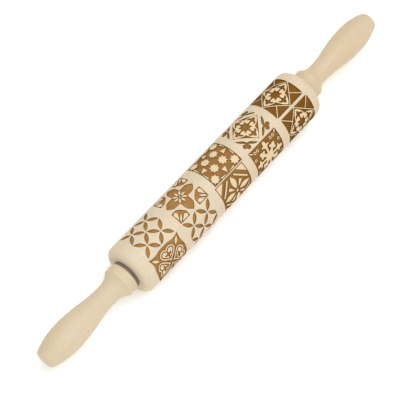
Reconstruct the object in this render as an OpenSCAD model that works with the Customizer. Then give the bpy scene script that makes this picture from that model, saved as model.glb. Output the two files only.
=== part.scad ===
// Rolling pin for pressing a pattern into dough or clay: a beech barrel that turns on two
// ball bearings round a steel axle rod, with a turned beech handle screwed onto each end.
// The axle lies along X with the right handle at +X, +Z is up, and the origin is the
// middle of the barrel on the axle's centre line. All lengths are in millimetres.

/* [Barrel] */
// Diameter of the barrel, over the tops of its raised pattern
barrel_d = 48; // [44:0.5:60]
// Length of the barrel between its two flat end faces
barrel_len = 231; // [180:1:280]
// Radius that rounds the barrel's two end edges
barrel_round = 5.5; // [3:0.5:8]
// Diameter of the long hole that clears the axle rod
barrel_bore_d = 12; // [10:0.5:14]

/* [Handles] */
// Length of each handle from its collar face to its tip
handle_len = 96.5; // [86:0.5:110]
// Diameter of the cylindrical collar next to the barrel
collar_d = 28; // [27.5:0.5:32]
// Length of the collar along the axle
collar_len = 9; // [7:0.5:11]
// Diameter of the narrow neck
neck_d = 18.5; // [17:0.5:20]
// Distance from the collar face to the narrowest point of the neck
neck_at = 21; // [19:0.5:24]
// Largest diameter of the grip
grip_d = 27.5; // [24:0.5:27.5]
// Distance from the collar face to the grip's largest diameter
grip_at = 70; // [64:0.5:74]
// Radius of the long curve from the grip's largest diameter to the tip
tip_curve_r = 70; // [60:1:90]
// Radius that rounds the edge of the flat tip
tip_round = 2; // [1:0.5:3]
// Share of the way from neck to grip where hollow turns to swell
swell_share = 0.44; // [0.3:0.02:0.6]

/* [Axle and fittings] */
// Length of rod inside each handle
rod_grip_len = 40; // [30:1:44]
// Outer diameter of the brass threaded insert in each handle
insert_d = 12; // [11:0.5:13]
// Length of the brass threaded insert
insert_len = 20; // [14:1:24]
// Gap between the collar face and the barrel's end face
gap = 3; // [2.5:0.1:4]
// Diameter of the dark washer that fills the gap
washer_d = 26.8; // [25:0.2:27.4]
// Running clearance between the washer and the barrel's end face
washer_play = 0.4; // [0.3:0.05:0.6]

/* [Ball bearings] */
// Depth of the bearing below the barrel's end face
bearing_recess = 0.5; // [0.4:0.1:1]
// Number of balls in each bearing
ball_count = 7; // [6:1:7]

/* [Hidden] */

// Facets round a turned piece, a ball, a ball groove and a small drilled hole
round_fn = 96;
ball_fn = 48;
groove_fn = 64;
hole_fn = 32;
// Straight pieces in a long arc of an outline, and in a small rounded edge
curve_steps = 12;
edge_steps = 5;
// How far a cut runs past the face that it starts from
cut_past = 1;

// Both bearings are the standard 8 x 22 x 7 size, so these three go together
rod_d = 8;
bearing_od = 22;
bearing_w = 7;

// Places along the axle, measured from the middle of the barrel
end_face_x = barrel_len / 2;
bearing_x = end_face_x - bearing_recess - bearing_w / 2;
collar_x = end_face_x + gap;
rod_half = collar_x + rod_grip_len;

// Axle rod
rod_r = rod_d / 2;
rod_chamfer = 0.8;
clip_t = 0.8;
clip_groove_w = 0.9;
clip_groove_r = rod_r - 0.2;
clip_x = bearing_x - bearing_w / 2 - clip_t;
clip_band = 1.4;
clip_gap_angle = 44;
clip_cut_reach = 20;
clip_lug_r = 1.35;
clip_lug_at = clip_groove_r + clip_band / 2 + 0.25;
clip_lug_angle = clip_gap_angle / 2 + 15;
clip_hole_r = 0.6;
clip_hole_at = clip_lug_at + 0.2;

// Ball bearing: the pitch circle, the races either side of it and the shields
ball_r = 1.984;
pitch_r = 7.5;
groove_play = 0.02;
groove_r = 2.06;
inner_shoulder_r = 6.1;
outer_shoulder_r = 8.85;
shield_seat_r = 9.6;
shield_seat_x = 2.75;
shield_t = 0.3;
shield_inner_r = 6.45;
cage_inner_r = 6.75;
cage_outer_r = 8.25;
cage_half_w = 2.45;
pocket_play = 0.066;
pocket_drill_len = 4;
race_chamfer = 0.3;

// Barrel: behind each bearing seat the hole is wider, to clear the circlip
relief_r = 8.75;
relief_len = 4;
seat_len = bearing_recess + bearing_w;
seat_lead_in = 0.4;

// Dust washer
washer_edge = 0.3;
boss_r = 5.8;

// Handle
collar_edge = 0.6;
rod_hole_r = rod_r + 0.25;
rod_hole_len = rod_grip_len + 2;
drill_point_len = 2.4;

// Points along an arc about c, from angle a to angle b. An arc that carries on from the one
// before it leaves out the point that they share
function arc(c, r, a, b, steps = curve_steps, carries_on = false) =
    [for (i = [carries_on ? 1 : 0 : steps])
        c + r * [cos(a + (b - a) * i / steps), sin(a + (b - a) * i / steps)]];

// Turns an outline of [place along the axle, radius] points into a solid round the X axis
module turned(outline) {
    rotate([0, 90, 0]) rotate_extrude($fn = round_fn)
        polygon([for (p = outline) [p.y, p.x]]);
}

// Puts a right-hand piece on its own side, or its mirror image on the left
module on_side(side) {
    mirror([side < 0 ? 1 : 0, 0, 0]) children();
}

// The handle's outline is four arcs that run into each other: the cove from the collar's
// ridge into the neck, the hollow out of the neck, the swell up to the grip's largest
// diameter, and the curve down to the tip, with a small arc round the tip's edge
function handle_outline() =
    let (
        collar_r = collar_d / 2, neck_r = neck_d / 2, grip_r = grip_d / 2,
        cove_len = neck_at - collar_len,
        cove_rise = collar_r - neck_r,
        cove_r = (cove_len * cove_len + cove_rise * cove_rise) / (2 * cove_rise),
        cove_angle = asin(cove_len / cove_r),
        swell_len = grip_at - neck_at,
        swell_rise = grip_r - neck_r,
        two_radii = (swell_len * swell_len + swell_rise * swell_rise) / (2 * swell_rise),
        hollow_r = swell_share * two_radii,
        swell_r = two_radii - hollow_r,
        swell_angle = asin(swell_len / two_radii),
        tip_centre_x = handle_len - tip_round,
        tip_reach = tip_curve_r - tip_round,
        tip_drop = sqrt(tip_reach * tip_reach - pow(tip_centre_x - grip_at, 2)),
        tip_centre_r = grip_r - tip_curve_r + tip_drop,
        tip_angle = asin((tip_centre_x - grip_at) / tip_reach)
    )
    concat(
        [[0, insert_d / 2]],
        arc([collar_edge, collar_r - collar_edge], collar_edge, 180, 90, edge_steps),
        arc([neck_at, neck_r + cove_r], cove_r, 270 - cove_angle, 270),
        arc([neck_at, neck_r + hollow_r], hollow_r, 270, 270 + swell_angle, carries_on = true),
        arc([grip_at, grip_r - swell_r], swell_r, 90 + swell_angle, 90, carries_on = true),
        arc([grip_at, grip_r - tip_curve_r], tip_curve_r, 90, 90 - tip_angle, carries_on = true),
        arc([tip_centre_x, tip_centre_r], tip_round, 90 - tip_angle, 0, edge_steps, true),
        [[handle_len, 0], [rod_hole_len + drill_point_len, 0], [rod_hole_len, rod_hole_r],
            [insert_len, rod_hole_r], [insert_len, insert_d / 2]]
    );

module handle(side) {
    on_side(side) translate([collar_x, 0, 0]) turned(handle_outline());
}

// Half of the barrel's outline; the other half is its mirror image
function barrel_half() = concat(
    [[0, barrel_bore_d / 2], [end_face_x - seat_len - relief_len, barrel_bore_d / 2],
        [end_face_x - seat_len - relief_len, relief_r], [end_face_x - seat_len, relief_r],
        [end_face_x - seat_len, bearing_od / 2], [end_face_x - seat_lead_in, bearing_od / 2],
        [end_face_x, bearing_od / 2 + seat_lead_in]],
    arc([end_face_x - barrel_round, barrel_d / 2 - barrel_round], barrel_round, 0, 90)
);

module barrel() {
    half = barrel_half();
    last = len(half) - 1;
    color("burlywood") turned(concat(half, [for (i = [last : -1 : 1]) [-half[i].x, half[i].y]]));
}

function axle_half() = [
    [clip_x + clip_t - clip_groove_w, rod_r], [clip_x + clip_t - clip_groove_w, clip_groove_r],
    [clip_x + clip_t, clip_groove_r], [clip_x + clip_t, rod_r],
    [rod_half - rod_chamfer, rod_r], [rod_half, rod_r - rod_chamfer], [rod_half, 0]
];

module axle_rod() {
    half = axle_half();
    color("silver") turned(concat(half, [for (i = [len(half) - 1 : -1 : 0]) [-half[i].x, half[i].y]]));
}

module threaded_insert(side) {
    color("goldenrod") on_side(side) translate([collar_x, 0, 0])
        turned([[0, rod_r], [0, insert_d / 2], [insert_len, insert_d / 2], [insert_len, rod_r]]);
}

// A flanged spacer: the flange fills the gap and the boss bears on the inner race alone
module dust_washer(side) {
    r = washer_d / 2;
    inner_x = end_face_x + washer_play;
    color("dimgray") on_side(side) turned([
        [end_face_x - bearing_recess, rod_r], [end_face_x - bearing_recess, boss_r],
        [inner_x, boss_r], [inner_x, r - washer_edge], [inner_x + washer_edge, r],
        [collar_x - washer_edge, r], [collar_x, r - washer_edge], [collar_x, rod_r]]);
}

// Split ring in the rod's groove, with two drilled ears beside the split
module circlip(side) {
    color("slategray") on_side(side) translate([clip_x, 0, 0]) rotate([0, 90, 0])
        difference() {
            union() {
                cylinder(h = clip_t, r = clip_groove_r + clip_band, $fn = round_fn);
                for (turn = [-clip_lug_angle, clip_lug_angle]) rotate([0, 0, turn])
                    translate([clip_lug_at, 0, 0])
                        cylinder(h = clip_t, r = clip_lug_r, $fn = hole_fn);
            }
            translate([0, 0, -cut_past]) linear_extrude(clip_t + 2 * cut_past) {
                circle(r = clip_groove_r, $fn = round_fn);
                polygon([[0, 0], for (turn = [-clip_gap_angle, clip_gap_angle] / 2)
                    clip_cut_reach * [cos(turn), sin(turn)]]);
                for (turn = [-clip_lug_angle, clip_lug_angle]) rotate([0, 0, turn])
                    translate([clip_hole_at, 0]) circle(r = clip_hole_r, $fn = hole_fn);
            }
        }
}

// Cuts the ball groove out of a race's outline, with the groove's bottom at radius r
module race(outline, groove_centre_r) {
    color("lightsteelblue") rotate([0, 90, 0]) rotate_extrude($fn = round_fn) difference() {
        polygon([for (p = outline) [p.y, p.x]]);
        translate([groove_centre_r, 0]) circle(r = groove_r, $fn = groove_fn);
    }
}

module inner_race(side) {
    half_w = bearing_w / 2;
    on_side(side) translate([bearing_x, 0, 0]) race([
        [-half_w, rod_r], [-half_w, inner_shoulder_r - race_chamfer],
        [race_chamfer - half_w, inner_shoulder_r], [half_w - race_chamfer, inner_shoulder_r],
        [half_w, inner_shoulder_r - race_chamfer], [half_w, rod_r]],
        pitch_r - ball_r - groove_play + groove_r);
}

module outer_race(side) {
    half_w = bearing_w / 2;
    outer_r = bearing_od / 2;
    on_side(side) translate([bearing_x, 0, 0]) race([
        [-half_w, shield_seat_r], [-half_w, outer_r - race_chamfer],
        [race_chamfer - half_w, outer_r], [half_w - race_chamfer, outer_r],
        [half_w, outer_r - race_chamfer], [half_w, shield_seat_r],
        [shield_seat_x, shield_seat_r], [shield_seat_x, outer_shoulder_r],
        [-shield_seat_x, outer_shoulder_r], [-shield_seat_x, shield_seat_r]],
        pitch_r + ball_r + groove_play - groove_r);
}

// Sheet-metal ring pressed into the outer race; face is 1 outboard and -1 inboard
module shield(side, face) {
    color("gainsboro") on_side(side) translate([bearing_x, 0, 0]) mirror([face < 0 ? 1 : 0, 0, 0])
        turned([[shield_seat_x, shield_inner_r], [shield_seat_x, shield_seat_r],
            [shield_seat_x + shield_t, shield_seat_r], [shield_seat_x + shield_t, shield_inner_r]]);
}

// Copies its children to each ball's place round the pitch circle
module each_ball() {
    for (i = [0 : ball_count - 1]) rotate([360 * i / ball_count, 0, 0]) translate([0, 0, pitch_r])
        children();
}

module ball_cage(side) {
    color("darkgoldenrod") on_side(side) translate([bearing_x, 0, 0]) difference() {
        turned([[-cage_half_w, cage_inner_r], [-cage_half_w, cage_outer_r],
            [cage_half_w, cage_outer_r], [cage_half_w, cage_inner_r]]);
        each_ball() cylinder(h = pocket_drill_len, r = ball_r + pocket_play, center = true,
            $fn = ball_fn);
    }
}

module balls(side) {
    color("white") on_side(side) translate([bearing_x, 0, 0])
        each_ball() sphere(r = ball_r, $fn = ball_fn);
}

module left_handle() { color("wheat") handle(-1); }
module right_handle() { color("wheat") handle(1); }

axle_rod();
left_handle();
right_handle();
threaded_insert(-1);  // left_threaded_insert
threaded_insert(1);  // right_threaded_insert
dust_washer(-1);  // left_dust_washer
dust_washer(1);  // right_dust_washer
circlip(-1);  // left_circlip
circlip(1);  // right_circlip
inner_race(-1);  // left_inner_race
inner_race(1);  // right_inner_race
barrel();
outer_race(-1);  // left_outer_race
outer_race(1);  // right_outer_race
shield(-1, 1);  // left_outboard_shield
shield(1, 1);  // right_outboard_shield
shield(-1, -1);  // left_inboard_shield
shield(1, -1);  // right_inboard_shield
ball_cage(-1);  // left_ball_cage
ball_cage(1);  // right_ball_cage
balls(-1);  // left_balls
balls(1);  // right_balls
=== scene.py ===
"""Looks for a rolling pin with an engraved beech barrel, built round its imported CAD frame.

The barrel is rebuilt as one closed mesh: five rings of four square tiles, whose ornament is
cut into the wood and burnt brown. Lengths in the shape code are millimetres, and they are
turned into metres where a mesh is made. A place on the barrel is (x, radius, turn): x along
the axle, and turn in degrees from straight up, towards -Y.
"""

import math

import bpy
import numpy as np
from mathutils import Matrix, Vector
from mathutils.geometry import delaunay_2d_cdt


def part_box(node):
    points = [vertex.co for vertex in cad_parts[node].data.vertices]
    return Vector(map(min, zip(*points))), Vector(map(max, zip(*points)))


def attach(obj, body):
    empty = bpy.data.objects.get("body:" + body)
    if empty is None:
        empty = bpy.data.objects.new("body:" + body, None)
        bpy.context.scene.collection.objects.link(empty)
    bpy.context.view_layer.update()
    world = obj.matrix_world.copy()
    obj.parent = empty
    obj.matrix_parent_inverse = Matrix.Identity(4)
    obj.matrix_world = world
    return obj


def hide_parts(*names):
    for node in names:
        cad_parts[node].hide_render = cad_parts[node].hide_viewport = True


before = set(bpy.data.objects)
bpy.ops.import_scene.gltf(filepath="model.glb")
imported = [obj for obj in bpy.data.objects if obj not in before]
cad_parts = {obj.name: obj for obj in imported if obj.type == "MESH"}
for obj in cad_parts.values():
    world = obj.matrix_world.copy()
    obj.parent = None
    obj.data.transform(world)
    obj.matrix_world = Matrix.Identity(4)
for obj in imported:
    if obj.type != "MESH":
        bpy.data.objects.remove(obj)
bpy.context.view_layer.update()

MM = 0.001

# The tiles' layout on the barrel
ROW_PITCH = 43.0
COLUMN_COUNT = 4
FIRST_COLUMN_TURN = -15.0
TILE_LEN = 34.6                 # before TILE_SCALE
TILE_SCALE = (1.015, 0.985)     # along the axle and round the barrel
CUT_DEPTH = 0.9
WALL_SLOPE = 0.2                # how far a wall's foot stands out from its top edge
STRIPS = 27                     # facets round the barrel in each column
EDGE_STEPS = 12                 # stretches in a cell's straight ends and in a rounded barrel edge
HALF = TILE_LEN / 2

# How the outlines are joined and cut
SAME_POINT = 1e-4               # points closer than this are one
LEAST_AREA = 1e-9               # twice the area of the smallest triangle that is kept
SMOOTH_BEND = 25                # degrees: a turned profile looks smooth over smaller bends
LEAST_PUSH = 0.6                # opposed walls at a foot count as pushing at least this much
FOOT_SHARE = 0.45               # of a triangle's height: the most that a foot may move into it
INSET_SHARE = 0.97              # of the depth: closer points of an inset outline are dropped

# How brown the raised wood inside a tile is, and how much its row's burning adds
TOAST = 0.6
TOAST_BY_ROW = 0.5
COLUMN_BURN = 0.05              # every second column is burnt this much more


# ---------------------------------------------------------------- outlines

def at(radius, degrees):
    """Points at these radii and directions."""
    turn = np.radians(degrees)
    return np.stack([radius * np.cos(turn), radius * np.sin(turn)], -1)


def disc(centre, radius, steps=14):
    return np.add(centre, at(radius, np.arange(steps) * 360 / steps))


def square(half):
    return np.array([(-half, -half), (half, -half), (half, half), (-half, half)], float)


def diamond(half):
    return at(half, 90 * np.arange(4))


def bar(start, end, width):
    start, end = np.array(start, float), np.array(end, float)
    along = (end - start) / np.hypot(*(end - start))
    side = np.array([-along[1], along[0]]) * width / 2
    return np.array([start - side, end - side, end + side, start + side])


def petal(start, end, width, steps=9):
    """A pointed oval from start to end."""
    start, end = np.array(start, float), np.array(end, float)
    s = np.linspace(0, 1, steps)[:, None]
    along = end - start
    side = np.array([-along[1], along[0]]) / np.hypot(*along) * width / 2
    line = start + along * s
    swell = side * 4 * s * (1 - s)
    return np.concatenate([line - swell, (line + swell)[-2:0:-1]])


def drop(tip, centre, radius, steps=12):
    """A teardrop from a point to a round end."""
    tip, centre = np.array(tip, float), np.array(centre, float)
    reach = centre - tip
    heading = np.degrees(np.arctan2(reach[1], reach[0]))
    lean = np.degrees(np.arccos(radius / np.hypot(*reach)))
    turns = np.linspace(heading - 180 + lean, heading + 180 - lean, steps)
    return np.concatenate([[tip], centre + at(radius, turns)])


def star(centre, outer, inner, points=8):
    steps = np.arange(2 * points)
    return np.add(centre, at(np.where(steps % 2 == 0, outer, inner), steps * 180 / points))


def ribbon(line, widths):
    """A band along a line, with a width at each of its points."""
    line, widths = np.array(line, float), np.array(widths, float)[:, None]
    along = np.gradient(line, axis=0)
    side = np.stack([-along[:, 1], along[:, 0]], -1) / np.hypot(*along.T)[:, None] * widths / 2
    return np.concatenate([line - side, (line + side)[::-1]])


def mirrored(half_outline):
    """A closed outline from the half of it above the u axis."""
    half_outline = np.array(half_outline, float)
    back = half_outline[::-1] * (1, -1)
    return np.concatenate([half_outline, back[back[:, 1] < 0]])


def turned(outline, degrees):
    turn = math.radians(degrees)
    spin = np.array([(math.cos(turn), math.sin(turn)), (-math.sin(turn), math.cos(turn))])
    return np.asarray(outline, float) @ spin


def spun(outline, count=4):
    """count copies of an outline, turned round the tile's centre."""
    return [turned(outline, 360 * i / count) for i in range(count)]


def in_corners(outline):
    """Four copies of an outline, mirrored into the tile's four quarters."""
    return [np.asarray(outline, float) * (a, b) for a in (1, -1) for b in (1, -1)]


def inset(outline, depth):
    """An outline moved inwards, without the loops that this makes where it is narrow."""
    along = np.roll(outline, -1, 0) - np.roll(outline, 1, 0)
    along /= np.hypot(*along.T)[:, None]
    moved = outline + np.stack([-along[:, 1], along[:, 0]], -1) * depth
    gaps = np.linalg.norm(moved[:, None] - outline[None], axis=2).min(1)
    return moved[gaps > INSET_SHARE * depth]


# ---------------------------------------------------------------- the tiles' ornament
# A tile is a list of (outline, raised) in the order they are drawn on plain raised wood.

def cut(*outlines):
    return [(np.asarray(o, float), False) for o in outlines]


def keep(*outlines):
    return [(np.asarray(o, float), True) for o in outlines]


def petal_lattice():
    """Sixteen cut petals, one across each cell of a 4 by 4 grid, in alternate directions."""
    shapes = []
    for i in range(4):
        for j in range(4):
            u, v = (i - 1.5) * 8.3, (j - 1.5) * 8.85
            lean = 4.1 if (i + j) % 2 == 0 else -4.1
            shapes += cut(petal((u - 3.6, v - lean), (u + 3.6, v + lean), 3.7))
    return shapes


def hearts():
    """Four hearts tip to tip on a cut field with a petal in each corner."""
    s = np.linspace(-HALF, HALF, 21)[:-1]
    pinch = np.sin(np.pi * np.clip((np.abs(s) - 5) / (HALF - 5), 0, 1))
    field = np.concatenate(spun(np.stack([s, 1.1 * pinch - HALF], -1)))
    t = np.linspace(0, 2 * np.pi, 49)[:-1]
    across = 8 * np.sin(t) ** 3
    along = -6.5 * np.cos(t) + 1.9 * np.cos(2 * t) + 0.75 * np.cos(3 * t) + 0.35 * np.cos(4 * t)
    heart = np.stack([across, along - 9.2], -1)
    fleur = mirrored([(4.4, 0), (5.8, 0.8), (7.7, 0.9), (7.9, 2.4), (8.7, 4.0), (9.5, 3.3),
                      (9.5, 0.9), (12.0, 0.6), (12.6, 0)])
    shapes = cut(field)
    for depth, raised in ((0, True), (1.05, False), (2.05, True)):
        shapes += [(o, raised) for o in spun(inset(heart, depth) if depth else heart)]
    shapes += cut(*spun(fleur))
    shapes += keep(*spun(petal((-15.4, -14.8), (-10.3, -9.8), 2.4)))
    return shapes


def cross_flower():
    """Four broad cut petals round a small daisy, with a quarter rosette in each corner."""
    arm = mirrored([(0, 4.7), (9.8, 4.7), (11.7, 4.3), (13.5, 3.1), (15.1, 1.4), (16.3, 0)])
    corner = [(-HALF, 5.9), (-11.6, 5.9), (-9.2, 8.0), (-6.0, 12.2), (-6.0, HALF), (-HALF, HALF)]
    shapes = cut(*spun(arm), *spun(corner))
    shapes += keep(*spun(petal((1.5, 0), (6.4, 0), 1.9), 8), disc((0, 0), 0.75, 10))
    bud = drop((16.4, 14.2), (14.9, 8.8), 1.8)
    shapes += keep(*in_corners(bud), *in_corners(bud[:, ::-1]))
    shapes += keep(*in_corners(petal((16.5, 16.5), (11.2, 11.2), 1.7)))
    return shapes


def star_field():
    """Eight-pointed stars on a cut field, with arrowheads and slivers along the edges."""
    shapes = cut(square(HALF))
    for reach in (5.3, 12.6):
        shapes += keep(*in_corners(star((reach, reach), 4.4, 3.0)))
    shapes += keep(*spun([(16.0, 0), (10.6, 2.3), (10.6, -2.3)]))
    shapes += keep(*in_corners([(16.2, 0.9), (15.3, 8.0), (16.7, 8.0)]))
    shapes += keep(*in_corners([(0.9, 16.2), (8.0, 15.3), (8.0, 16.7)]))
    return shapes


def lily_cross():
    """Four long petals and four clubs in a framed octagon, with plain corner triangles."""
    inner = HALF - 0.7
    chamfer = 8.5
    octagon = np.concatenate(spun([(-chamfer, -inner), (chamfer, -inner)]))
    shapes = cut(square(HALF)) + keep(square(inner)) + cut(octagon)
    shapes += keep(*spun(bar((-4.1, -14.8), (-14.8, -4.1), 1.4)))
    shapes += keep(*spun(petal((2.9, 0), (15.2, 0), 5.1, 13)))
    shapes += keep(*spun(drop((-2.2, -2.2), (-6.4, -6.4), 1.5)), disc((0, 0), 1.35, 8))
    return shapes


def quatrefoil():
    """A pointed quatrefoil of raised wood with an octagon and four barbed arms cut in it."""
    tip, waist = 15.1, 8.3
    s = np.linspace(0, 1, 9)
    side = at(waist + (tip - waist) * (1 - s) ** 1.25, 45 * s)
    lobe = np.concatenate([(side * (1, -1))[:0:-1], side[:-1]])
    arm = mirrored([(3.4, 1.1), (5.9, 0.6), (7.5, 0.8), (8.2, 1.8), (8.0, 2.9), (7.0, 3.4),
                    (7.4, 4.4), (8.9, 4.2), (9.9, 3.0), (10.3, 1.6), (11.4, 1.5), (13.0, 0)])
    notch = turned([(3.4, -1.3), (5.2, -0.6), (6.5, 0), (5.2, 0.6), (3.4, 1.3)], 45)
    octagon = at(4.5, 45 * np.arange(8))
    return keep(np.concatenate(spun(lobe))) + cut(octagon, *spun(arm), *spun(notch))


def scroll_diamond():
    """The quatrefoil in a cut diamond, with a scroll in each corner."""
    line = [(16.9, 3.4), (15.8, 5.4), (14.2, 7.3), (12.7, 8.8), (11.9, 10.5), (12.4, 12.4)]
    arm = ribbon(line, (0.6, 1.8, 2.4, 2.3, 1.9, 2.0))
    shapes = cut(diamond(15.9)) + quatrefoil()
    for piece in (arm, arm[:, ::-1], disc((14.7, 12.3), 2.1), disc((12.3, 14.7), 2.1),
                  disc((12.4, 12.4), 1.7)):
        shapes += cut(*in_corners(piece))
    return shapes


def framed_diamond():
    """The quatrefoil in a diamond of thin raised lines on a cut tile."""
    shapes = cut(square(HALF)) + keep(diamond(17.5)) + cut(diamond(16.5)) + quatrefoil()
    shapes += keep(*spun(bar((17.4, 17.4), (8.3, 8.3), 0.75)))
    return shapes


def snowflake():
    """A raised cross of fleurs on a cut tile, with small rings and corner triangles."""
    stem = mirrored([(0, 1.2), (8.9, 1.05), (9.8, 1.5), (10.7, 2.6), (11.0, 4.4), (12.0, 4.2),
                     (12.4, 2.2), (13.0, 1.4), (14.2, 1.7), (15.3, 1.2), (16.0, 0)])
    leaf = mirrored([(0, 1.4), (7.0, 1.4), (7.8, 2.1), (7.5, 3.3), (8.4, 3.9), (9.7, 3.1),
                     (10.2, 1.8), (11.4, 1.8), (13.0, 0)])
    shapes = cut(square(HALF)) + keep(*spun(stem), *spun(turned(leaf, 45)), disc((0, 0), 4.7, 16))
    for place in ((8.5, 13.6), (11.8, 13.6), (14.7, 7.6)):
        shapes += keep(*in_corners(disc(place, 1.45, 10)))
        shapes += cut(*in_corners(disc(place, 0.75, 8)))
    shapes += keep(*in_corners(petal((16.7, 16.7), (13.9, 13.9), 1.2)))
    return shapes


# Each row has how dark it is burnt, from 0 to 1, and its four tiles, with each one's shift
# along the axle and round the barrel. The rows run from the left handle to the right.
ROWS = (
    (0.15, ((petal_lattice, 0.3, 1.6), (hearts, 0.2, -0.4), (star_field, 0.0, 0.0),
            (lily_cross, 0.5, 0.3))),
    (0.2, ((cross_flower, -0.2, 1.6), (petal_lattice, -1.3, -1.1), (snowflake, 0.0, 0.0),
           (framed_diamond, 0.3, -0.2))),
    (0.45, ((star_field, 1.2, 1.2), (lily_cross, -0.7, -1.5), (scroll_diamond, 0.0, 0.0),
           (hearts, 0.0, 0.4))),
    (0.65, ((scroll_diamond, 0.7, 0.7), (snowflake, 0.2, -1.5), (petal_lattice, 0.0, 0.0),
           (cross_flower, 0.2, 0.2))),
    (0.95, ((framed_diamond, -0.1, -0.3), (framed_diamond, 1.2, -1.3), (lily_cross, 0.0, 0.0),
            (star_field, 0.4, 0.0))),
)


# ---------------------------------------------------------------- building meshes

class Shell:
    """Collects a turned mesh: its corners, and each face with its normals and material."""

    def __init__(self):
        self.corners = []
        self.faces = []
        self.normals = []
        self.materials = []
        self.burnt = []
        self.welded = {}

    def corner(self, x, radius, turn):
        a = math.radians(turn)
        self.corners.append((x * MM, -radius * math.sin(a) * MM, radius * math.cos(a) * MM))
        return len(self.corners) - 1

    def shared_corner(self, x, radius, turn):
        """The same corner each time it is asked for the same place."""
        key = (round(x * 1e4), round(radius * 1e4), round(turn * 1e5) % 36000000)
        if key not in self.welded:
            self.welded[key] = self.corner(x, radius, turn)
        return self.welded[key]

    def face(self, corners, normals=None, material=0, burnt=0.0):
        if normals is None:
            a, b, c = (Vector(self.corners[i]) for i in corners[:3])
            normals = [(b - a).cross(c - a).normalized()] * len(corners)
        self.faces.append(corners)
        self.normals.extend(normals)
        self.materials.append(material)
        self.burnt.append(burnt)

    def lathe(self, profile, turns, material=0):
        """Turns an open profile of (x, radius) points, smooth over its slight bends."""
        profile = np.array(profile, float)
        step = np.diff(profile, axis=0)
        across = np.stack([-step[:, 1], step[:, 0]], -1) / np.hypot(*step.T)[:, None]
        starts, ends = across.copy(), across.copy()
        for i in range(1, len(across)):
            if across[i - 1] @ across[i] > math.cos(math.radians(SMOOTH_BEND)):
                mean = across[i - 1] + across[i]
                starts[i] = ends[i - 1] = mean / np.hypot(*mean)
        rings = [[self.shared_corner(x, r, t) for t in turns] for x, r in profile]
        for i in range(len(across)):
            for k in range(len(turns)):
                n = (k + 1) % len(turns)
                quad = (rings[i][k], rings[i][n], rings[i + 1][n], rings[i + 1][k])
                self.face(quad, [spoke(*starts[i], turns[k]), spoke(*starts[i], turns[n]),
                                 spoke(*ends[i], turns[n]), spoke(*ends[i], turns[k])], material)

    def build(self, name, materials, body, node):
        mesh = bpy.data.meshes.new(name)
        mesh.from_pydata(self.corners, [], self.faces)
        for m in materials:
            mesh.materials.append(m)
        mesh.polygons.foreach_set("material_index", self.materials)
        mesh.polygons.foreach_set("use_smooth", [True] * len(self.faces))
        burnt = mesh.attributes.new("burnt", "FLOAT", "FACE")
        burnt.data.foreach_set("value", self.burnt)
        mesh.normals_split_custom_set(self.normals)
        piece = bpy.data.objects.new(name, mesh)
        bpy.context.scene.collection.objects.link(piece)
        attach(piece, body)
        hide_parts(node)


def spoke(along, out, turn):
    """A direction from its parts along the axle and away from it, at a turn."""
    a = math.radians(turn)
    return (along, -out * math.sin(a), out * math.cos(a))


def inside(points, outline):
    """Which of the points lie inside a closed outline."""
    x, y = points[:, :1], points[:, 1:]
    x0, y0 = outline.T
    x1, y1 = np.roll(outline, -1, axis=0).T
    rise = np.where(y1 == y0, 1.0, y1 - y0)
    crossed = ((y0 > y) != (y1 > y)) & (x < x0 + (y - y0) * (x1 - x0) / rise)
    return crossed.sum(1) % 2 == 1


def triangulate(shapes, half_u, half_v):
    """Triangles over one cell that follow every outline and every facet line.

    Returns the points, the triangles turned to face outwards, which of them are raised, and
    which no outline covers."""
    if any((np.abs(outline) >= (half_u, half_v)).any() for outline, _ in shapes):
        raise ValueError("a tile's outline reaches past its cell")
    points, edges = [], []

    def add(path, closed):
        first = len(points)
        points.extend(Vector(p) for p in path)
        count = len(path)
        steps = count if closed else count - 1
        edges.extend((first + i, first + (i + 1) % count) for i in range(steps))

    lines = np.linspace(-half_v, half_v, STRIPS + 1)
    for v in lines:
        add([(-half_u, v), (half_u, v)], False)
    for u in (-half_u, half_u):
        add([(u, v) for v in lines], False)
    for v in (-half_v, half_v):
        add([(u, v) for u in np.linspace(-half_u, half_u, EDGE_STEPS + 1)], False)
    for outline, _ in shapes:
        add(outline, True)
    found, _, triangles, *_ = delaunay_2d_cdt(points, edges, [], 0, SAME_POINT)
    found = np.array([tuple(p) for p in found])
    triangles = np.array(triangles)
    a, b, c = (found[triangles[:, i]] for i in range(3))
    area = (b - a)[:, 0] * (c - a)[:, 1] - (b - a)[:, 1] * (c - a)[:, 0]
    triangles[area > 0] = triangles[area > 0][:, ::-1]
    triangles = triangles[np.abs(area) > LEAST_AREA]
    middles = found[triangles].mean(1)
    raised = np.ones(len(triangles), bool)
    fresh = np.ones(len(triangles), bool)
    for outline, stays in shapes:
        within = inside(middles, outline)
        raised[within] = stays
        fresh[within] = False
    return found, triangles, raised, fresh


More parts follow.
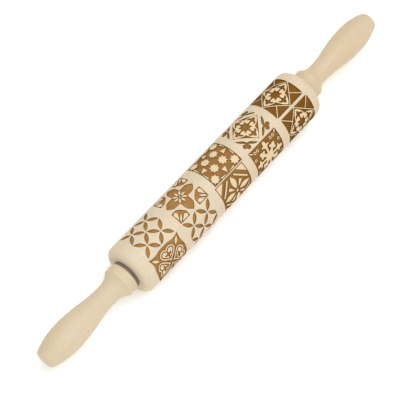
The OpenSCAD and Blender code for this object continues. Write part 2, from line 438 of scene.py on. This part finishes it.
def add_cell(shell, shapes, x, turn, half_u, half_v, radius, burnt):
    """Adds one cell of the barrel's surface, with its cut areas sunk below it."""
    points, triangles, raised, fresh = triangulate(shapes, half_u, half_v)
    per_mm = math.degrees(1 / radius)
    owner = {}
    for t, corners in enumerate(triangles):
        for i in range(3):
            owner[(corners[i], corners[(i + 1) % 3])] = t

    # A cut area's corners are one group for each unbroken fan of cut triangles at a point
    group = {(t, p): (t, p) for t in np.flatnonzero(~raised) for p in triangles[t]}

    def root(key):
        while group[key] != key:
            group[key] = group[group[key]]
            key = group[key]
        return key

    walls = []
    for (a, b), t in owner.items():
        other = owner.get((b, a))
        if other is None:
            continue
        if not raised[t] and not raised[other]:
            group[root((t, a))] = root((other, a))
            group[root((t, b))] = root((other, b))
        elif raised[t] and not raised[other]:
            walls.append((a, b, other))

    # Each wall pushes its foot away from the raised side, by less than its triangles' heights.
    # A few of the thinnest triangles are still turned over.
    push, room = {}, {}
    for a, b, t in walls:
        along = points[b] - points[a]
        away = np.array([-along[1], along[0]]) / np.hypot(*along)
        for p in (a, b):
            key = root((t, p))
            push[key] = push.get(key, 0) + away
    for t in np.flatnonzero(~raised):
        a, b, c = points[triangles[t]]
        double_area = abs((b - a)[0] * (c - a)[1] - (b - a)[1] * (c - a)[0])
        for p, facing in zip(triangles[t], (c - b, a - c, b - a)):
            key = root((t, p))
            room[key] = min(room.get(key, ROW_PITCH), double_area / np.hypot(*facing))

    feet = {}

    def foot(t, p):
        key = root((t, p))
        if key not in feet:
            place = points[p]
            if key in push:
                size = max(np.hypot(*push[key]), LEAST_PUSH)
                reach = min(2 * WALL_SLOPE / size, FOOT_SHARE * room[key])
                place = place + push[key] / size * reach
            feet[key] = shell.corner(x + place[0], radius - CUT_DEPTH, turn + place[1] * per_mm)
        return feet[key]

    turns = turn + points[:, 1] * per_mm
    tops = {}
    for t in np.flatnonzero(raised):
        for p in triangles[t]:
            if p not in tops:
                tops[p] = shell.shared_corner(x + points[p][0], radius, turns[p])
    for t, corners in enumerate(triangles):
        normals = [spoke(0, 1, turns[p]) for p in corners]
        if raised[t]:
            toasted = 0.0 if fresh[t] else TOAST + TOAST_BY_ROW * burnt
            shell.face([tops[p] for p in corners], normals, 0, toasted)
        else:
            shell.face([foot(t, p) for p in corners], normals, 1, burnt)
    # Walls take the third material: burnt brown made darker than the cut floor, as painted shade
    # along the cut's edge
    for a, b, t in walls:
        shell.face([tops[b], tops[a], foot(t, a), foot(t, b)], None, 2, burnt)


# ---------------------------------------------------------------- materials

class Graph:
    """A material whose nodes are added one call at a time."""

    def __init__(self, name):
        self.material = bpy.data.materials.new(name)
        self.material.use_nodes = True
        self.tree = self.material.node_tree
        self.shader = self.tree.nodes["Principled BSDF"]
        self.place = self.tree.nodes.new("ShaderNodeTexCoord").outputs["Object"]

    def node(self, kind, sockets=(), **settings):
        made = self.tree.nodes.new("ShaderNode" + kind)
        for key, value in settings.items():
            setattr(made, key, value)
        for key, value in dict(sockets).items():
            self.set(made.inputs[key], value)
        return made

    def set(self, socket, value):
        if isinstance(value, bpy.types.NodeSocket):
            self.tree.links.new(value, socket)
        else:
            socket.default_value = value

    def noise(self, scale, detail=2.0, roughness=0.5, distortion=0.0, offset=(0, 0, 0)):
        """Noise whose three scales are in features per metre."""
        spread = self.node("Mapping", {"Vector": self.place, "Scale": scale, "Location": offset})
        return self.node("TexNoise", {"Vector": spread.outputs[0], "Scale": 1.0, "Detail": detail,
                                      "Roughness": roughness, "Distortion": distortion}).outputs[0]

    def ramp(self, factor, *stops):
        """A colour ramp through (place, colour) stops."""
        made = self.node("ValToRGB", {"Fac": factor})
        elements = made.color_ramp.elements
        while len(elements) < len(stops):
            elements.new(0.5)
        for element, (place, colour) in zip(elements, stops):
            element.position = place
            element.color = (*colour, 1)
        return made.outputs[0]

    def mix(self, factor, first, second, blend="MIX"):
        made = self.node("Mix", data_type="RGBA", blend_type=blend)
        self.set(made.inputs[0], factor)
        for socket, value in ((made.inputs[6], first), (made.inputs[7], second)):
            self.set(socket, value if isinstance(value, bpy.types.NodeSocket) else (*value, 1))
        return made.outputs[2]

    def maths(self, operation, first, second=0.0, clamp=False):
        made = self.node("Math", {0: first, 1: second}, operation=operation, use_clamp=clamp)
        return made.outputs[0]

    def between(self, factor, low, high, out_low=0.0, out_high=1.0):
        made = self.node("MapRange", {0: factor, 1: low, 2: high, 3: out_low, 4: out_high})
        return made.outputs[0]

    def finish(self, colour, roughness, height, depth, **constants):
        """Wires the colour, roughness and bump, and sets the shader's constant sockets."""
        bump = self.node("Bump", {"Height": height, "Distance": depth})
        bump.inputs["Strength"].default_value = 1.0
        self.set(self.shader.inputs["Base Color"], colour)
        self.set(self.shader.inputs["Roughness"], roughness)
        self.set(self.shader.inputs["Normal"], bump.outputs[0])
        for name, value in constants.items():
            self.shader.inputs[name.replace("_", " ")].default_value = value
        return self.material


def wood_colour(g, pale, warm, dark):
    """Beech: pale wood with broad warm clouds, faint growth lines, fibres and short flecks."""
    cloud = g.noise((9, 28, 28), 3.0)
    lines = g.noise((5, 260, 130), 2.0, 0.6, 0.4)
    fibres = g.noise((70, 1500, 1500), 3.0, 0.6)
    flecks = g.noise((420, 3200, 2400), 1.0, 0.5, 0.0, (3, 7, 1))
    colour = g.ramp(cloud, (0.3, pale), (0.72, warm))
    colour = g.mix(g.between(lines, 0.50, 0.72, 0.0, 0.45), colour, warm)
    colour = g.mix(g.between(fibres, 0.45, 0.75, 0.0, 0.3), colour, dark)
    colour = g.mix(g.between(flecks, 0.62, 0.7, 0.0, 0.5), colour, dark)
    return colour, fibres


def beech(name, pale=(0.64, 0.54, 0.385), warm=(0.61, 0.49, 0.32), dark=(0.50, 0.35, 0.19)):
    g = Graph(name)
    colour, fibres = wood_colour(g, pale, warm, dark)
    rough = g.between(fibres, 0.3, 0.8, 0.48, 0.62)
    return g.finish(colour, rough, fibres, 0.00004, Specular_IOR_Level=0.35)


def engraved_top():
    """The uncut wood of the barrel, toasted browner where it stands inside a tile's shapes."""
    g = Graph("barrel_beech")
    colour, fibres = wood_colour(g, (0.675, 0.58, 0.43), (0.65, 0.53, 0.365), (0.50, 0.36, 0.20))
    toasted = g.node("Attribute", attribute_name="burnt").outputs["Fac"]
    colour = g.mix(g.maths("MULTIPLY", toasted, 0.7), colour, (0.74, 0.55, 0.31))
    rough = g.between(fibres, 0.3, 0.8, 0.48, 0.62)
    return g.finish(colour, rough, fibres, 0.00004, Specular_IOR_Level=0.35)


def burnt_floor(name, light, dark):
    """Laser-cut wood: brown, streaked along the grain, with the scan lines' fine ribs. Given
    darker browns it also colours the cut walls, where the extra dark is painted shade.
    """
    g = Graph(name)
    burnt = g.node("Attribute", attribute_name="burnt").outputs["Fac"]
    patches = g.noise((160, 260, 260), 3.0, 0.6)
    streaks = g.noise((90, 1300, 1300), 3.0, 0.6)
    ribs = g.noise((9000, 500, 500), 1.0)
    colour = g.mix(burnt, light, dark)
    colour = g.mix(g.between(patches, 0.35, 0.7, 0.0, 0.35), colour, dark)
    colour = g.mix(g.between(streaks, 0.45, 0.75, 0.0, 0.4), colour, tuple(c * 0.5 for c in dark))
    height = g.maths("ADD", streaks, g.maths("MULTIPLY", ribs, 0.5))
    return g.finish(colour, g.between(streaks, 0.3, 0.8, 0.65, 0.85), height, 0.00008,
                    Specular_IOR_Level=0.08)


def metal(name, colour, rough, worn=0.8):
    """Turned metal with fine rings of tool marks and a slightly uneven shine."""
    g = Graph(name)
    rings = g.noise((6000, 60, 60), 2.0)
    smears = g.noise((150, 150, 150), 3.0)
    shade = g.mix(g.between(smears, 0.3, 0.8), colour, tuple(c * worn for c in colour))
    return g.finish(shade, g.between(smears, 0.3, 0.8, rough, rough + 0.15), rings, 0.000004,
                    Metallic=1.0)


def nylon(name, colour):
    g = Graph(name)
    grain = g.noise((2500, 2500, 2500), 2.0)
    smears = g.noise((120, 200, 200), 3.0)
    shade = g.mix(g.between(smears, 0.3, 0.8), colour, tuple(c * 1.35 for c in colour))
    return g.finish(shade, g.between(smears, 0.3, 0.8, 0.42, 0.58), grain, 0.00001)


# ---------------------------------------------------------------- the barrel

barrel_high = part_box("barrel")[1]
BARREL_R = round(barrel_high.z / MM, 1)
END_X = barrel_high.x / MM
SEAT_R = round(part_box("right_outer_race")[1].z / MM, 1)
SEAT_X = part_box("right_outer_race")[0].x / MM
EDGE_R = 5.5
SEAT_LEAD_IN = 0.4
RELIEF_R = 8.75
RELIEF_LEN = 4.0
BORE_R = 6.0

shell = Shell()
half_u = ROW_PITCH / 2
half_v = math.pi * BARREL_R / COLUMN_COUNT
column_angle = 360 / COLUMN_COUNT
for row, (burnt, tiles) in enumerate(ROWS):
    for column, (motif, along, around) in enumerate(tiles):
        shapes = [(o * TILE_SCALE + (along, around), raised) for o, raised in motif()]
        add_cell(shell, shapes, (row - (len(ROWS) - 1) / 2) * ROW_PITCH,
                 FIRST_COLUMN_TURN + column * column_angle, half_u, half_v, BARREL_R,
                 burnt + COLUMN_BURN * (column % 2))

pattern_end = len(ROWS) * ROW_PITCH / 2
edge = np.add((END_X - EDGE_R, BARREL_R - EDGE_R), at(EDGE_R, np.linspace(90, 0, EDGE_STEPS + 1)))
end_profile = [(pattern_end, BARREL_R), *edge, (END_X, SEAT_R + SEAT_LEAD_IN),
               (END_X - SEAT_LEAD_IN, SEAT_R), (SEAT_X, SEAT_R), (SEAT_X, RELIEF_R),
               (SEAT_X - RELIEF_LEN, RELIEF_R), (SEAT_X - RELIEF_LEN, BORE_R)]
facets = COLUMN_COUNT * STRIPS
turns = [FIRST_COLUMN_TURN - column_angle / 2 + 360 * k / facets for k in range(facets)]
shell.lathe(end_profile + [(-x, r) for x, r in reversed(end_profile)], turns)
shell.build(
    "engraved_barrel",
    [engraved_top(), burnt_floor("burnt_floor", (0.46, 0.25, 0.083), (0.195, 0.083, 0.009)),
     # The walls' browns are darker than the floor's: burnt wood, plus painted shade along each
     # cut's edge
     burnt_floor("burnt_wall_painted_shade", (0.34, 0.165, 0.045), (0.14, 0.058, 0.008))],
    "barrel", "barrel")

# ---------------------------------------------------------------- looks of the CAD's own pieces

LOOKS = {
    "turned_beech": beech("turned_beech"),
    "dark_nylon": nylon("dark_nylon", (0.16, 0.12, 0.095)),
    "axle_steel": metal("axle_steel", (0.55, 0.56, 0.58), 0.25),
    "insert_brass": metal("insert_brass", (0.72, 0.50, 0.20), 0.28),
    "spring_steel": metal("spring_steel", (0.30, 0.31, 0.33), 0.35),
    "bearing_steel": metal("bearing_steel", (0.60, 0.61, 0.63), 0.2),
    "shield_steel": metal("shield_steel", (0.66, 0.67, 0.69), 0.3),
    "cage_brass": metal("cage_brass", (0.66, 0.45, 0.18), 0.35),
    "ball_chrome": metal("ball_chrome", (0.75, 0.76, 0.78), 0.08, 0.95),
}
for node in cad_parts.values():
    if node.name == "barrel":
        continue
    slot = node.data.materials[0].name.split(".")[0]
    node.data.materials.clear()
    node.data.materials.append(LOOKS[slot])

# ---------------------------------------------------------------- floor, light and camera

FLOOR_REACH = 3.0
floor_z = -BARREL_R * MM
floor_mesh = bpy.data.meshes.new("floor")
floor_mesh.from_pydata([(x, y, floor_z) for x, y in square(FLOOR_REACH)], [], [(0, 1, 2, 3)])
g = Graph("glowing_paper")
g.material.name = "glowing_paper"
tone = g.ramp(g.noise((3, 3, 3), 2.0), (0.3, (0.90, 0.90, 0.90)), (0.7, (0.92, 0.92, 0.92)))
# The floor glows a little, like a light table: painted light that lifts the pin's shadow on it and
# lights the pin from below
floor_mesh.materials.append(g.finish(tone, 0.9, g.noise((800, 800, 800)), 0.00001,
                                     Emission_Color=(1, 1, 1, 1), Emission_Strength=0.22))
floor = bpy.data.objects.new("floor", floor_mesh)
bpy.context.scene.collection.objects.link(floor)

bpy.context.scene.view_settings.view_transform = "Standard"
world = bpy.data.worlds.new("studio")
world.use_nodes = True
world.node_tree.nodes["Background"].inputs["Color"].default_value = (1, 1, 1, 1)
world.node_tree.nodes["Background"].inputs["Strength"].default_value = 0.65
bpy.context.scene.world = world


def softbox(name, place, target, size, power):
    light = bpy.data.lights.new(name, "AREA")
    light.shape = "DISK"
    light.size = size
    light.energy = power
    lamp = bpy.data.objects.new(name, light)
    lamp.location = place
    lamp.rotation_euler = (Vector(target) - Vector(place)).to_track_quat("-Z", "Y").to_euler()
    bpy.context.scene.collection.objects.link(lamp)


softbox("key", (0.25, -0.25, 1.4), (0.05, 0, 0), 1.3, 12.5)
softbox("fill", (-0.9, -0.4, 0.7), (-0.1, 0, 0), 0.9, 2.1)

# The camera looks down along the pin from beyond its left handle
AZIMUTH, ELEVATION = math.radians(-50.2), math.radians(61.2)
DISTANCE = 1.160
LENS = 123.5
AIM = Vector((-0.0231, -0.0004, -0.0042))
back = Vector((math.sin(AZIMUTH) * math.cos(ELEVATION), -math.cos(AZIMUTH) * math.cos(ELEVATION),
               math.sin(ELEVATION)))
camera_data = bpy.data.cameras.new("camera")
camera_data.lens = LENS
camera_data.sensor_width = 36
camera = bpy.data.objects.new("camera", camera_data)
camera.location = AIM + back * DISTANCE
camera.rotation_euler = back.to_track_quat("Z", "Y").to_euler()
bpy.context.scene.collection.objects.link(camera)
bpy.context.scene.camera = camera
